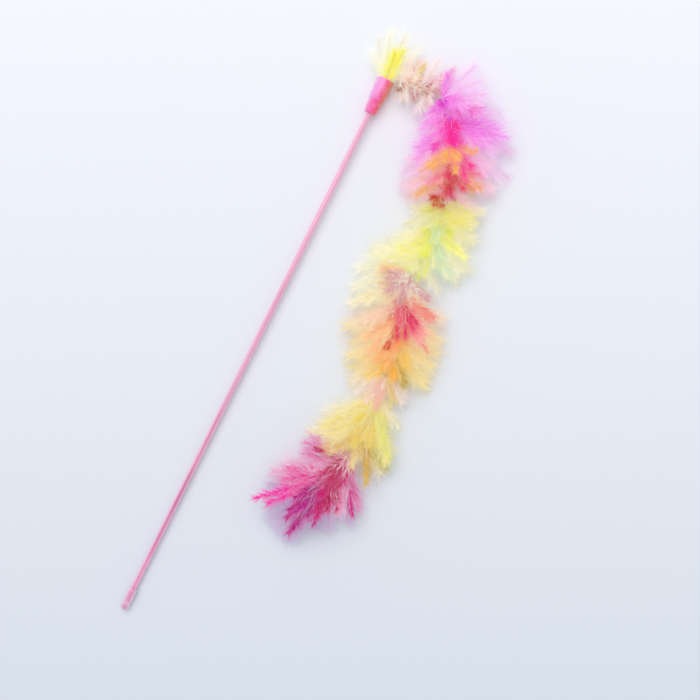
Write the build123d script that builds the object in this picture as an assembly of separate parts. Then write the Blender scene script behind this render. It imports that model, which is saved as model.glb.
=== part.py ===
from build123d import *
import math
import os

# Cat teaser wand: a plastic rod with an end cap, a flared tip socket and a boa of dyed plumes on a cord.
# Millimetres, +Z up. The wand lies on the plane Z = 0 with its rod along +X, and the boa on its -Y side.

# Rod and end cap
STICK_LENGTH = 400.0
ROD_DIAMETER = 4.0
GLUE_LINE = 0.02
END_CAP_LENGTH = 15.0
END_CAP_WALL = 1.0
END_CAP_ROUNDING = 1.4

# Tip socket
SOCKET_LENGTH = 25.0
SOCKET_FOOT_DIAMETER = 8.4
SOCKET_WAIST_DIAMETER = 9.6
SOCKET_MOUTH_DIAMETER = 12.5
SOCKET_STEP = 0.5
COLLAR_LENGTH = 9.5
ROD_SEAT_DEPTH = 9.0
SOCKET_WEB = 1.5
SOCKET_WALL = 1.0
LIP_ROUNDING = 0.45
GLUE_DEPTH = 4.5

# Cord and its knots
CORD_DIAMETER = 2.0
KNOT_DIAMETER = 4.4
KNOT_GAP = 0.1
KNOT_STANDOFF = 1.0
ARC_SHARE = 0.45

# Plumes
PLUME_THICKNESS = 0.8
QUILL_DIAMETER = 1.2
BINDING_WALL = 1.0
BINDING_LENGTH = 5.0
BINDING_GAP = 0.3
FLEX_ROOM = 8.0
PLUME_BOW_DEGREES = 24.0
PLUME_WIDTH_SHARE = 0.26
STEM_SHARE = 0.1
BELLY_SHARE = 0.58
QUILL_SHARE = 0.88
CROWN_SHARE = 0.75

# Lengths that the plumes are cut to
TUFT_CUT = 13.0
SHORT_CUT = 20.0
SMALL_CUT = 27.0
MIDDLE_CUT = 34.0
LONG_CUT = 41.0
LONGEST_CUT = 48.0

# The way round the cord of the plumes in one tuft, in degrees from the far side over the top
EVEN_WAYS = (10, 50, 90, 130, 170)
ODD_WAYS = (-4, 28, 70, 110, 152, 184)
TOP_WAYS = (5, 45, 88)
TOP_LEAN = 32.0

# The cord's route from knot to knot, past the knot that each stretch starts at
ROUTES = {
    "leader": [(204.2, -10), (204.6, -19), (206.8, -28), (207.2, -37.5)],
    "magenta": [
        (201.4, -46.9), (191.9, -55.1), (179.3, -61.7), (166.7, -66.8), (155.5, -70.1), (144.7, -72.8),
    ],
    "lime": [(134.3, -74.6), (120.6, -76.1), (104.7, -76.4), (91.4, -73.6)],
    "orange": [
        (79.8, -74.5), (65.5, -77.8), (51.4, -82.9), (37.5, -86.8), (24.5, -89.5), (12.1, -90.4),
    ],
    "yellow": [(1, -92.5), (-11.1, -94), (-23.4, -93.7), (-34.1, -91.8)],
    "tail": [(-45.5, -89.6), (-57, -86.3), (-68, -82)],
}

# The tufts of each stretch in order: colour, far side cut, rod side cut
TUFTS = {
    "leader": [("peach", TUFT_CUT, TUFT_CUT), ("blush", TUFT_CUT, TUFT_CUT)],
    "magenta": [
        ("orchid", LONG_CUT, SHORT_CUT),
        ("magenta", LONGEST_CUT, LONG_CUT),
        ("violet", LONGEST_CUT, LONG_CUT),
        ("flame", MIDDLE_CUT, LONG_CUT),
        ("crimson", SMALL_CUT, MIDDLE_CUT),
    ],
    "lime": [
        ("lime", MIDDLE_CUT, SMALL_CUT),
        ("citron", LONG_CUT, MIDDLE_CUT),
        ("lemon", MIDDLE_CUT, LONG_CUT),
        ("mint", SMALL_CUT, MIDDLE_CUT),
    ],
    "orange": [
        ("mauve", SMALL_CUT, LONG_CUT),
        ("fuchsia", MIDDLE_CUT, LONG_CUT),
        ("coral", MIDDLE_CUT, LONG_CUT),
        ("tangerine", MIDDLE_CUT, MIDDLE_CUT),
        ("amber", MIDDLE_CUT, MIDDLE_CUT),
        ("apricot", SHORT_CUT, SMALL_CUT),
    ],
    "yellow": [
        ("straw", SMALL_CUT, LONG_CUT),
        ("yellow", SMALL_CUT, LONG_CUT),
        ("ochre", SHORT_CUT, MIDDLE_CUT),
    ],
    "tail": [
        ("rose", MIDDLE_CUT, MIDDLE_CUT),
        ("ruby", MIDDLE_CUT, LONGEST_CUT),
        ("purple", LONG_CUT, LONGEST_CUT),
    ],
}

# How far the first and the last tuft of a stretch stand off its cord, in degrees
LEANS = {
    "leader": (60, 66),
    "magenta": (56, 68),
    "lime": (54, 72),
    "orange": (54, 68),
    "yellow": (52, 68),
    "tail": (50, 36),
}

UP = Vector(0, 0, 1)
rod_radius = ROD_DIAMETER / 2
cord_radius = CORD_DIAMETER / 2
knot_radius = KNOT_DIAMETER / 2
mouth_radius = SOCKET_MOUTH_DIAMETER / 2
end_cap_radius = rod_radius + GLUE_LINE + END_CAP_WALL
butt = -STICK_LENGTH / 2
mouth = STICK_LENGTH / 2
socket_foot = mouth - SOCKET_LENGTH
cup_floor = socket_foot + ROD_SEAT_DEPTH + SOCKET_WEB
glue_top = mouth - GLUE_DEPTH


def turned(points):
    """A solid of revolution about X from its half outline in X and radius."""
    outline = make_face(Polyline(*points, close=True))
    return revolve(outline, Axis.X)


def wand_rod():
    start = butt + END_CAP_WALL
    end = socket_foot + ROD_SEAT_DEPTH
    return turned([(start, 0), (end, 0), (end, rod_radius), (start, rod_radius)])


def rod_end_cap():
    """A soft cap pushed over the butt of the rod."""
    bore = rod_radius + GLUE_LINE
    floor = butt + END_CAP_WALL
    rim = butt + END_CAP_LENGTH
    sleeve = turned([
        (butt, 0),
        (floor, 0),
        (floor, bore),
        (rim, bore),
        (rim, end_cap_radius),
        (butt, end_cap_radius),
    ])
    return fillet(sleeve.edges().group_by(Axis.X)[0], END_CAP_ROUNDING)


def cup_radius(x, inset):
    """The inner radius of the cup at x, less an inset."""
    floor_radius = SOCKET_WAIST_DIAMETER / 2 + SOCKET_STEP - SOCKET_WALL
    rise = (x - cup_floor) / (mouth - cup_floor)
    return floor_radius + (mouth_radius - SOCKET_WALL - floor_radius) * rise - inset


def tip_socket():
    """A tapered collar on the rod with a wider flared cup above a step."""
    waist = socket_foot + COLLAR_LENGTH
    waist_radius = SOCKET_WAIST_DIAMETER / 2
    bore = rod_radius + GLUE_LINE
    seat = socket_foot + ROD_SEAT_DEPTH
    socket = turned([
        (socket_foot, bore),
        (socket_foot, SOCKET_FOOT_DIAMETER / 2),
        (waist, waist_radius),
        (waist, waist_radius + SOCKET_STEP),
        (mouth, mouth_radius),
        (mouth, cup_radius(mouth, 0)),
        (cup_floor, cup_radius(cup_floor, 0)),
        (cup_floor, 0),
        (seat, 0),
        (seat, bore),
    ])
    return fillet(socket.edges().group_by(Axis.X)[-1], LIP_ROUNDING)


def ball(x):
    return Pos(x, 0, 0) * Sphere(knot_radius)


def cord_along_x(start, end, radius):
    return turned([(start, 0), (end, 0), (end, radius), (start, radius)])


def glue_plug(knot_place):
    """Set glue in the cup, moulded round the cord's knot."""
    low = cup_floor + GLUE_LINE
    plug = turned([
        (low, 0),
        (low, cup_radius(low, GLUE_LINE)),
        (glue_top, cup_radius(glue_top, GLUE_LINE)),
        (glue_top, 0),
    ])
    plug -= Pos(knot_place, 0, 0) * Sphere(knot_radius + GLUE_LINE)
    return plug - cord_along_x(knot_place, mouth, cord_radius + GLUE_LINE)


def arc_band(radius, bow, thickness, width):
    """A strip along +X that bows downwards on an arc, centred on Y."""
    centre = (0, -radius)
    start = 90 - math.degrees(bow)
    outer = CenterArc(centre, radius + thickness / 2, start, math.degrees(bow))
    inner = CenterArc(centre, radius - thickness / 2, start, math.degrees(bow))
    ends = [Line(outer @ 0, inner @ 0), Line(outer @ 1, inner @ 1)]
    return extrude(Plane.XZ * make_face([outer, inner, *ends]), amount=width / 2, both=True)


def feather(length):
    """One plume along +X from its root: a bowed leaf-shaped vane with its quill as a rib."""
    bow = math.radians(PLUME_BOW_DEGREES)
    radius = length / bow
    reach = radius * math.sin(bow)
    half_quill = QUILL_DIAMETER / 2
    half_width = PLUME_WIDTH_SHARE * length / 2
    stem = STEM_SHARE * reach
    root = Line((stem, -half_quill), (stem, half_quill))
    upper = ThreePointArc((stem, half_quill), (BELLY_SHARE * reach, half_width), (reach, 0))
    lower = ThreePointArc((reach, 0), (BELLY_SHARE * reach, -half_width), (stem, -half_quill))
    leaf = extrude(make_face([root, upper, lower]), amount=radius, both=True)
    vane = arc_band(radius, bow, PLUME_THICKNESS, length) & leaf
    return vane + arc_band(radius, bow * QUILL_SHARE, QUILL_DIAMETER, QUILL_DIAMETER)


def tuft(place, forward, lean, far_cut, rod_cut, ways):
    """Plumes that fan out round the cord from one bound ring, with what would go below the floor cut off."""
    bore = cord_radius + BINDING_GAP
    far_side = UP.cross(forward).normalized()
    ring = Cylinder(bore + BINDING_WALL, BINDING_LENGTH) - Cylinder(bore, BINDING_LENGTH)
    pieces = []
    for way in ways:
        turn = math.radians(way)
        out = (far_side * math.cos(turn) + UP * (CROWN_SHARE * math.sin(turn))).normalized()
        along = forward * math.cos(math.radians(lean)) + out * math.sin(math.radians(lean))
        back = out * math.cos(math.radians(lean)) - forward * math.sin(math.radians(lean))
        flat = UP - along * UP.dot(along)
        face = flat + (back - flat) * abs(math.sin(turn))
        cut = far_cut + (rod_cut - far_cut) * (1 - math.cos(turn)) / 2
        root = place + out * (bore + BINDING_WALL / 2)
        pieces.append(Plane(root, x_dir=along, z_dir=face) * feather(cut))
    whole = Plane(place, z_dir=forward) * ring + pieces
    return split(whole, bisect_by=Plane.XY, keep=Keep.TOP)


def cord_path(points):
    """Straight runs joined by arcs that are as large as the runs allow."""
    radii = []
    for before, corner, after in zip(points, points[1:], points[2:]):
        turn = math.radians((corner - before).get_angle(after - corner))
        shorter = min((corner - before).length, (after - corner).length)
        radii.append(ARC_SHARE * shorter / math.tan(turn / 2))
    return FilletPolyline(*points, radius=radii), radii


def cord(path):
    section = Plane(path @ 0, z_dir=path % 0) * Circle(cord_radius)
    return sweep(section, path=path)


def stretch_points(knots_gap, points):
    """The points of one stretch with both ends drawn back from the knots there."""
    first = points[0] + (points[1] - points[0]).normalized() * knots_gap
    last = points[-1] + (points[-2] - points[-1]).normalized() * knots_gap
    return [first, *points[1:-1], last]


def lay_down(pieces):
    """The place of the stick that sets its end cap and its socket's mouth on the floor."""
    contact_run = STICK_LENGTH - END_CAP_ROUNDING - LIP_ROUNDING
    slope = math.degrees(math.atan((mouth_radius - end_cap_radius) / contact_run))
    tilt = Rot(0, -slope, 0)
    box = (tilt * Compound(children=pieces)).bounding_box()
    return Pos(-box.center().X, -box.center().Y, -box.min.Z) * tilt


# The stick, made along X and then laid down
anchor_place = (cup_floor + glue_top) / 2
lead_knot_place = mouth + KNOT_STANDOFF + knot_radius
cord_start = anchor_place + knot_radius + KNOT_GAP
cord_end = lead_knot_place - knot_radius - KNOT_GAP
upright = {
    "wand_rod": wand_rod(),
    "rod_end_cap": rod_end_cap(),
    "tip_socket": tip_socket(),
    "glue_plug": glue_plug(anchor_place),
    "anchor_knot": ball(anchor_place),
    "cord_anchor": cord_along_x(cord_start, cord_end, cord_radius),
}
laid = lay_down([tip_socket(), rod_end_cap()])
parts = {name: laid * solid for name, solid in upright.items()}
stick_way = (laid * Pos(mouth, 0, 0)).position - (laid * Pos(butt, 0, 0)).position
top_place = (laid * Pos(glue_top + GLUE_LINE + BINDING_LENGTH / 2, 0, 0)).position
parts["plumes_top"] = tuft(top_place, stick_way.normalized(), TOP_LEAN, MIDDLE_CUT, MIDDLE_CUT, TOP_WAYS)

# The boa: a knot at the head of each stretch of cord, then the stretch and its tufts
knot = (laid * Pos(lead_knot_place, 0, 0)).position
knot_places = {}
knot_ways = {}
ways_in_turn = (EVEN_WAYS, ODD_WAYS)
count = 0
for stretch, route in ROUTES.items():
    points = [knot] + [Vector(x, y, knot.Z) for x, y in route]
    path, radii = cord_path(stretch_points(knot_radius + KNOT_GAP, points))
    knot_places[stretch] = knot
    knot_ways[stretch] = (points[1] - points[0]).normalized()
    parts["knot_" + stretch] = Pos(knot) * Sphere(knot_radius)
    tube = cord(path)
    parts["cord_" + stretch] = tube
    expected = math.pi * cord_radius**2 * path.length
    print(stretch, "cord", round(path.length, 1), "radii", [round(r, 1) for r in radii])
    print("  volume over section times length", round(tube.volume / expected, 4))
    lean, last_lean = LEANS[stretch]
    tufts = TUFTS[stretch]
    pitch = (path.length - 2 * (FLEX_ROOM - knot_radius)) / (len(tufts) - 1)
    for number, (colour, far_cut, rod_cut) in enumerate(tufts):
        share = (FLEX_ROOM - knot_radius + number * pitch) / path.length
        here = lean + (last_lean - lean) * number / (len(tufts) - 1)
        ways = ways_in_turn[count % len(ways_in_turn)]
        parts["plumes_" + colour] = tuft(path @ share, path % share, here, far_cut, rod_cut, ways)
        count += 1
    knot = points[-1]
parts["knot_end"] = Pos(knot) * Sphere(knot_radius)

os.makedirs("parts", exist_ok=True)
for name, solid in parts.items():
    solid.label = name
    export_step(solid, os.path.join("parts", name + ".step"))
print(len(parts), "nodes")
for stretch, place in knot_places.items():
    print("knot", stretch, [round(v, 3) for v in place], "way", [round(v, 4) for v in knot_ways[stretch]])
print("stick way", [round(v, 6) for v in stick_way.normalized()])
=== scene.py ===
import itertools
import math

import bpy
import numpy as np
from mathutils import Matrix, Vector


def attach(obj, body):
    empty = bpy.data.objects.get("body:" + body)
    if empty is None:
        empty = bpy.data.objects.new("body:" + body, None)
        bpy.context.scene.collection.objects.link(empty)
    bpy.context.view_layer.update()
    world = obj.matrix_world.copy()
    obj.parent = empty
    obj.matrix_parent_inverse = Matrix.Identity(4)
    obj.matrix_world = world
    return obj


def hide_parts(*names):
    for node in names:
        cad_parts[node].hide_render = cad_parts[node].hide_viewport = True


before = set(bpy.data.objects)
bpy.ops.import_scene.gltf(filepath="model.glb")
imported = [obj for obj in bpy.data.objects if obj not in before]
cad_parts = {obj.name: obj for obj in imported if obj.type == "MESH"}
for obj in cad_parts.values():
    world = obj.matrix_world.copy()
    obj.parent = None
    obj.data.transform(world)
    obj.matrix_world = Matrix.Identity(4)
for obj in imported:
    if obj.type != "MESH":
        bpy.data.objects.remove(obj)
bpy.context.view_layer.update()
bpy.ops.object.select_all(action="DESELECT")
scene = bpy.context.scene

# The camera looks straight down on the wand as it lies on a table, from a little over a metre away.
# The rod rises from the lower left of the picture to the middle of its top, with the boa on its right.
PICTURE_RIGHT = Vector((0.4452, -0.8954, 0))
PICTURE_UP = Vector((0.8954, 0.4452, 0))
SKYWARD = Vector((0, 0, 1))
VIEW_CENTRE = Vector((0.02545, -0.05956, 0.006))
VIEW_WIDTH = 0.47396
LENS = 85.0
FILM_WIDTH = 36.0

camera_data = bpy.data.cameras.new("camera")
camera_data.lens = LENS
camera_data.sensor_width = FILM_WIDTH
camera = bpy.data.objects.new("camera", camera_data)
camera_turn = Matrix((PICTURE_RIGHT, PICTURE_UP, SKYWARD)).transposed().to_4x4()
camera_place = VIEW_CENTRE + SKYWARD * (VIEW_WIDTH * LENS / FILM_WIDTH)
camera.matrix_world = Matrix.Translation(camera_place) @ camera_turn
scene.collection.objects.link(camera)
scene.camera = camera

# The cord is one limp length of pale cotton string, laid up from three yarns and tied off by knots
# into six stretches. It comes out of the socket and runs down the middle of the boa on the table.
CORD_DIAMETER = 0.002
CORD_HEIGHT = 0.006279
KNOT_REACH = 0.0023
YARN_RADIUS = 0.00054
YARN_PITCH = 0.0065
YARN_STEP = 0.0006
YARNS = 3
FEWEST_YARN_STEPS = 8
STRAND_ROUNDNESS = 2
ROUTE_ORDER = 3
ROUTE_STEPS = 16
FIRST_KNOT = (0.203176, 0.0)
ROUTES = {
    "leader": [(0.2042, -0.0100), (0.2046, -0.0190), (0.2068, -0.0280), (0.2072, -0.0375)],
    "magenta": [
        (0.2014, -0.0469), (0.1919, -0.0551), (0.1793, -0.0617),
        (0.1667, -0.0668), (0.1555, -0.0701), (0.1447, -0.0728),
    ],
    "lime": [(0.1343, -0.0746), (0.1206, -0.0761), (0.1047, -0.0764), (0.0914, -0.0736)],
    "orange": [
        (0.0798, -0.0745), (0.0655, -0.0778), (0.0514, -0.0829),
        (0.0375, -0.0868), (0.0245, -0.0895), (0.0121, -0.0904),
    ],
    "yellow": [(0.0010, -0.0925), (-0.0111, -0.0940), (-0.0234, -0.0937), (-0.0341, -0.0918)],
    "tail": [(-0.0455, -0.0896), (-0.0570, -0.0863), (-0.0680, -0.0820)],
}


def spline_line(points):
    """The places along the smooth spline that has these points as its control points."""
    curve = bpy.data.curves.new("route", "CURVE")
    curve.dimensions = "3D"
    curve.resolution_u = ROUTE_STEPS
    spline = curve.splines.new("NURBS")
    spline.points.add(len(points) - 1)
    for place, point in zip(spline.points, points):
        place.co = (*point, 1)
    spline.order_u = ROUTE_ORDER
    spline.use_endpoint_u = True
    route = bpy.data.objects.new("route", curve)
    drawn = bpy.data.meshes.new_from_object(route)
    line = np.array([vertex.co for vertex in drawn.vertices])
    bpy.data.objects.remove(route)
    bpy.data.curves.remove(curve)
    bpy.data.meshes.remove(drawn)
    return line


def unit(vectors):
    return vectors / np.linalg.norm(vectors, axis=-1, keepdims=True)


def along_line(line, shares):
    """Places and ways at these shares of a line's length."""
    runs = np.linalg.norm(np.diff(line, axis=0), axis=1)
    gone = np.concatenate([[0], np.cumsum(runs)])
    places = np.stack([np.interp(shares * gone[-1], gone, line[:, axis]) for axis in range(3)], axis=1)
    ways = np.gradient(line, gone, axis=0)
    ways = np.stack([np.interp(shares * gone[-1], gone, ways[:, axis]) for axis in range(3)], axis=1)
    return places, unit(ways)


def line_length(line):
    return float(np.linalg.norm(np.diff(line, axis=0), axis=1).sum())


def only(piece):
    """Leaves this piece alone selected and active."""
    bpy.ops.object.select_all(action="DESELECT")
    piece.select_set(True)
    bpy.context.view_layer.objects.active = piece


def corded(name, lines, radius, closed=False):
    """A mesh of round strands along these lines."""
    curve = bpy.data.curves.new(name, "CURVE")
    curve.dimensions = "3D"
    curve.bevel_depth = radius
    curve.bevel_resolution = STRAND_ROUNDNESS
    curve.use_fill_caps = True
    for line in lines:
        spline = curve.splines.new("POLY")
        spline.points.add(len(line) - 1)
        spline.points.foreach_set("co", np.insert(line, 3, 1, axis=1).ravel())
        spline.use_cyclic_u = closed
    piece = bpy.data.objects.new(name, curve)
    scene.collection.objects.link(piece)
    only(piece)
    bpy.ops.object.convert(target="MESH")
    piece = bpy.context.view_layer.objects.active
    piece.name = name
    bpy.ops.object.shade_smooth()
    bpy.ops.object.select_all(action="DESELECT")
    return piece


def twisted(name, line):
    """Three yarns wound round a line."""
    shares = np.linspace(0, 1, max(FEWEST_YARN_STEPS, int(line_length(line) / YARN_STEP)))
    places, ways = along_line(line, shares)
    level = unit(np.cross((0, 0, 1), ways))
    rise = np.cross(ways, level)
    arm = CORD_DIAMETER / 2 - YARN_RADIUS
    yarns = []
    for yarn in range(YARNS):
        turn = 2 * np.pi * (shares * line_length(line) / YARN_PITCH + yarn / YARNS)
        yarns.append(places + arm * (level * np.cos(turn)[:, None] + rise * np.sin(turn)[:, None]))
    return corded(name, yarns, YARN_RADIUS)


class Tint:
    """A shader value that can stand in sums: each sum adds its Math node to the finish."""

    def __init__(self, tree, socket=None):
        self.tree = tree
        self.socket = socket

    def node(self, kind, settings=None, inputs=None, output=0):
        """One of the outputs of a new node of this kind, set up and with its sockets filled or linked."""
        made = self.tree.nodes.new("ShaderNode" + kind)
        for name, value in (settings or {}).items():
            if name == "stops":
                ramp = made.color_ramp.elements
                while len(ramp) < len(value):
                    ramp.new(0.5)
                for stop, (place, colour) in zip(ramp, value):
                    stop.position = place
                    stop.color = colour
            else:
                setattr(made, name, value)
        for name, value in (inputs or {}).items():
            socket = next(each for each in made.inputs if name in (each.identifier, each.name))
            if isinstance(value, Tint):
                self.tree.links.new(value.socket, socket)
            else:
                socket.default_value = value
        return Tint(self.tree, made.outputs[output] if made.outputs else None)

    def beside(self, output):
        """Another output of the same node."""
        return Tint(self.tree, self.socket.node.outputs[output])

    def sum(self, operation, first, second):
        return self.node("Math", {"operation": operation}, {"Value": first, "Value_001": second})

    def __add__(self, other):
        return self.sum("ADD", self, other)

    def __radd__(self, other):
        return self.sum("ADD", other, self)

    def __mul__(self, other):
        return self.sum("MULTIPLY", self, other)

    def __rmul__(self, other):
        return self.sum("MULTIPLY", other, self)

    def between(self, low, high, start, end):
        """This value's way from low to high, held at both ends, as a value from start to end."""
        limits = {"From Min": low, "From Max": high, "To Min": start, "To Max": end}
        return self.node("MapRange", None, {"Value": self, **limits})

    def blend(self, factor, first, second):
        """Two colours mixed."""
        colours = {"Factor_Float": factor, "A_Color": first, "B_Color": second}
        mixed = self.node("Mix", {"data_type": "RGBA"}, colours)
        return mixed.beside(2)

    def place(self):
        """Where a point lies on its piece."""
        return self.node("TexCoord", output="Object")

    def parts(self):
        """This vector's X, with its Y and Z beside it."""
        return self.node("SeparateXYZ", None, {"Vector": self})

    def size(self):
        """This value without its sign."""
        return self.node("Math", {"operation": "ABSOLUTE"}, {"Value": self})

    def scaled(self, factors):
        """This vector or colour, each part times its own factor."""
        return self.node("VectorMath", {"operation": "MULTIPLY"}, {"Vector": self, "Vector_001": factors})

    def noise(self, scale, detail, distortion=0.0):
        """Soft noise that varies with this place."""
        grain = {"Scale": scale, "Detail": detail, "Distortion": distortion}
        return self.node("TexNoise", None, {"Vector": self, **grain})

    def bump(self, strength, distance):
        """The slopes of a fine relief with this value as its height."""
        return self.node("Bump", None, {"Strength": strength, "Distance": distance, "Height": self})

    def surface(self, sockets):
        """The finish's one surface, with these sockets filled or linked."""
        made = self.node("BsdfPrincipled", None, sockets)
        self.node("OutputMaterial", None, {"Surface": made})


def dye(red, green, blue):
    """A colour as a dyer's card gives it, in steps of 255, as the shaders need it."""
    steps = [value / 255 for value in (red, green, blue)]
    return (*[step / 12.92 if step <= 0.04045 else ((step + 0.055) / 1.055) ** 2.4 for step in steps], 1.0)


def new_finish(name):
    finish = bpy.data.materials.new(name)
    finish.use_nodes = True
    finish.node_tree.nodes.clear()
    return finish, Tint(finish.node_tree)


def fit_piece(piece, finish, body, node):
    """Gives a piece its finish, and sets it on its body in place of its solid."""
    piece.data.materials.append(finish)
    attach(piece, body)
    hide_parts(node)


def cotton_finish():
    """Undyed cotton: matt, with fine fibres, and painted shade that greys the grooves between them a little.
    """
    finish, tint = new_finish("cotton_cord")
    place = tint.place()
    fibres = place.noise(2600.0, 4.0)
    patches = place.noise(220.0, 2.0)
    # Painted shade: greyer where the fibres' relief is low, in its grooves.
    colour = tint.blend(fibres.between(0.3, 0.7, 0, 1), dye(214, 186, 172), dye(250, 238, 228))
    colour = tint.blend(patches.between(0.45, 0.7, 0, 0.6), colour, dye(238, 196, 190))
    tint.surface({
        "Base Color": colour,
        "Roughness": 0.75 + 0.2 * patches,
        "Sheen Weight": 0.3,
        "Normal": fibres.bump(0.5, 0.0002),
    })
    return finish


cotton = cotton_finish()
cord_lines = {}
knot_places = {}
knot_place = Vector((*FIRST_KNOT, CORD_HEIGHT))
for stretch, route in ROUTES.items():
    knot_places[stretch] = knot_place
    points = [knot_place] + [Vector((x, y, CORD_HEIGHT)) for x, y in route]
    knot_place = points[-1]
    points[0] = points[0] + (points[1] - points[0]).normalized() * KNOT_REACH
    points[-1] = points[-1] + (points[-2] - points[-1]).normalized() * KNOT_REACH
    line = spline_line(points)
    string = twisted("string_" + stretch, line)
    fit_piece(string, cotton, "boa_" + stretch, "cord_" + stretch)
    cord_lines[stretch] = line
knot_places["end"] = knot_place

# The knots are overhand knots in the same cord, pulled tight. The boa bends at them, and each stands
# at the head of its stretch; the last one keeps the plumes from slipping off the end.
KNOT_YARN_RADIUS = 0.00082
KNOT_SPREAD = 0.00046
KNOT_STEPS = 72
KNOT_TURN = 0.9
KNOT_TIP = 0.5
KNOT_TIP_MORE = 0.3

turns = np.linspace(0, 2 * np.pi, KNOT_STEPS, endpoint=False)
knot_line = KNOT_SPREAD * np.stack([
    np.sin(turns) + 2 * np.sin(2 * turns),
    np.cos(turns) - 2 * np.cos(2 * turns),
    -1.5 * np.sin(3 * turns),
], axis=1)
for number, (stretch, place) in enumerate(knot_places.items()):
    tip = Matrix.Rotation(KNOT_TIP + KNOT_TIP_MORE * number, 3, "X")
    turn = np.array(Matrix.Rotation(KNOT_TURN * number, 3, "Z") @ tip)
    tied = knot_line @ turn.T + np.array(place)
    knot = corded("overhand_" + stretch, [tied], KNOT_YARN_RADIUS, closed=True)
    body = "boa_tail" if stretch == "end" else "flex_" + stretch
    fit_piece(knot, cotton, body, "knot_" + stretch)

# The rod is a straight drawn plastic stick, glossy and a little see-through, in a rose pink that pales
# towards the socket. It is pushed into the socket at one end and carries a soft cap at the other.
STICK_LENGTH = 0.4
STICK_WAY = Vector((0.999967, 0, 0.008112))
MIDDLE_TO_KNOT = 0.2032
STICK_MIDDLE = FIRST_KNOT[0] - MIDDLE_TO_KNOT * STICK_WAY.x
STICK_MIDDLE_HEIGHT = CORD_HEIGHT - MIDDLE_TO_KNOT * STICK_WAY.z
ROD_RADIUS = 0.002
ROD_ROUNDING = 0.0003
END_CAP_WALL = 0.001
SOCKET_LENGTH = 0.025
ROD_SEAT_DEPTH = 0.009
GLUE_LINE = 0.00002
ROUND_STEPS = 64
ROUNDING_STEPS = 3
SMOOTH_BELOW = math.radians(40)

butt = -STICK_LENGTH / 2
mouth = STICK_LENGTH / 2
socket_foot = mouth - SOCKET_LENGTH
stick_turn = Matrix((STICK_WAY, (0, 1, 0), STICK_WAY.cross(Vector((0, 1, 0))))).transposed().to_4x4()
stick_place = Matrix.Translation((STICK_MIDDLE, 0, STICK_MIDDLE_HEIGHT)) @ stick_turn


def turned_piece(name, outline, rounding):
    """A piece spun round the stick's own axis from its half outline, with its edges rounded over."""
    mesh = bpy.data.meshes.new(name)
    rows = [(number, number + 1) for number in range(len(outline) - 1)]
    mesh.from_pydata([(along, 0, out) for along, out in outline], rows, [])
    piece = bpy.data.objects.new(name, mesh)
    scene.collection.objects.link(piece)
    only(piece)
    bpy.ops.object.mode_set(mode="EDIT")
    bpy.ops.mesh.select_all(action="SELECT")
    bpy.ops.mesh.spin(steps=ROUND_STEPS, angle=2 * math.pi, center=(0, 0, 0), axis=(1, 0, 0))
    bpy.ops.mesh.select_all(action="SELECT")
    bpy.ops.mesh.remove_doubles(threshold=1e-6)
    bpy.ops.mesh.normals_make_consistent(inside=False)
    bpy.ops.object.mode_set(mode="OBJECT")
    bevel = piece.modifiers.new("rounding", "BEVEL")
    bevel.width = rounding
    bevel.segments = ROUNDING_STEPS
    bevel.limit_method = "ANGLE"
    bpy.ops.object.modifier_apply(modifier=bevel.name)
    mesh.transform(stick_place)
    bpy.ops.object.shade_smooth_by_angle(angle=SMOOTH_BELOW)
    bpy.ops.object.select_all(action="DESELECT")
    return piece


def rod_finish():
    """Drawn plastic: rose pink in soft bands, paler at its sides with painted reflection, with fine
    lengthwise draw marks, under a hard gloss.
    """
    finish, tint = new_finish("rose_rod")
    place = tint.place()
    marks = place.scaled((10, 900, 900)).noise(1.0, 3.0)
    clouds = place.noise(60.0, 3.0)
    bands = place.scaled((14, 0, 0)).noise(1.0, 2.0)
    along = place.parts()
    # Painted reflection: the colour pales towards the rod's sides, across the picture.
    reflected_sides = along.beside("Y").size().between(0.0005, 0.0015, 0, 1)
    colour = tint.blend(bands.between(0.4, 0.62, 0, 1), dye(204, 112, 156), dye(232, 146, 188))
    colour = tint.blend(reflected_sides, colour, dye(247, 190, 218))
    colour = tint.blend(along.between(-0.1, 0.1, 0, 0.6), colour, dye(249, 188, 214))
    colour = tint.blend(marks.between(0.5, 0.75, 0, 0.5), colour, dye(250, 206, 226))
    tint.surface({
        "Base Color": colour,
        "Roughness": 0.22 + 0.16 * clouds,
        "Coat Weight": 0.6,
        "Coat Roughness": 0.08,
        "Subsurface Weight": 0.15,
        "Subsurface Scale": 0.002,
        "Normal": marks.bump(0.12, 0.0002),
    })
    return finish


rod_start = butt + END_CAP_WALL
rod_end = socket_foot + ROD_SEAT_DEPTH
rod = turned_piece("rose_rod", [
    (rod_start, 0), (rod_start, ROD_RADIUS), (rod_end, ROD_RADIUS), (rod_end, 0),
], ROD_ROUNDING)
fit_piece(rod, rod_finish(), "wand", "wand_rod")

# The end cap is a short soft vinyl sleeve with a closed, rounded end, dipped in a paler pink.
# It grips the butt of the rod so that the cut end doesn't scratch.
END_CAP_LENGTH = 0.015
END_CAP_ROUNDING = 0.0014
END_CAP_EDGE = 0.0003


def vinyl_finish():
    """Soft milky vinyl with a faint orange-peel skin, paler at its sides with painted reflection."""
    finish, tint = new_finish("milky_vinyl")
    place = tint.place()
    peel = place.noise(1500.0, 2.0)
    clouds = place.noise(260.0, 3.0)
    # Painted reflection: the colour pales towards the cap's sides, across the picture.
    reflected_sides = place.parts().beside("Y").size().between(0.0009, 0.0022, 0, 1)
    colour = tint.blend(reflected_sides, dye(222, 140, 182), dye(232, 204, 222))
    colour = tint.blend(clouds.between(0.45, 0.75, 0, 0.6), colour, dye(244, 212, 228))
    tint.surface({
        "Base Color": colour,
        "Roughness": 0.3 + 0.15 * clouds,
        "Coat Weight": 0.3,
        "Subsurface Weight": 0.25,
        "Subsurface Scale": 0.002,
        "Normal": peel.bump(0.2, 0.0001),
    })
    return finish


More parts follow.
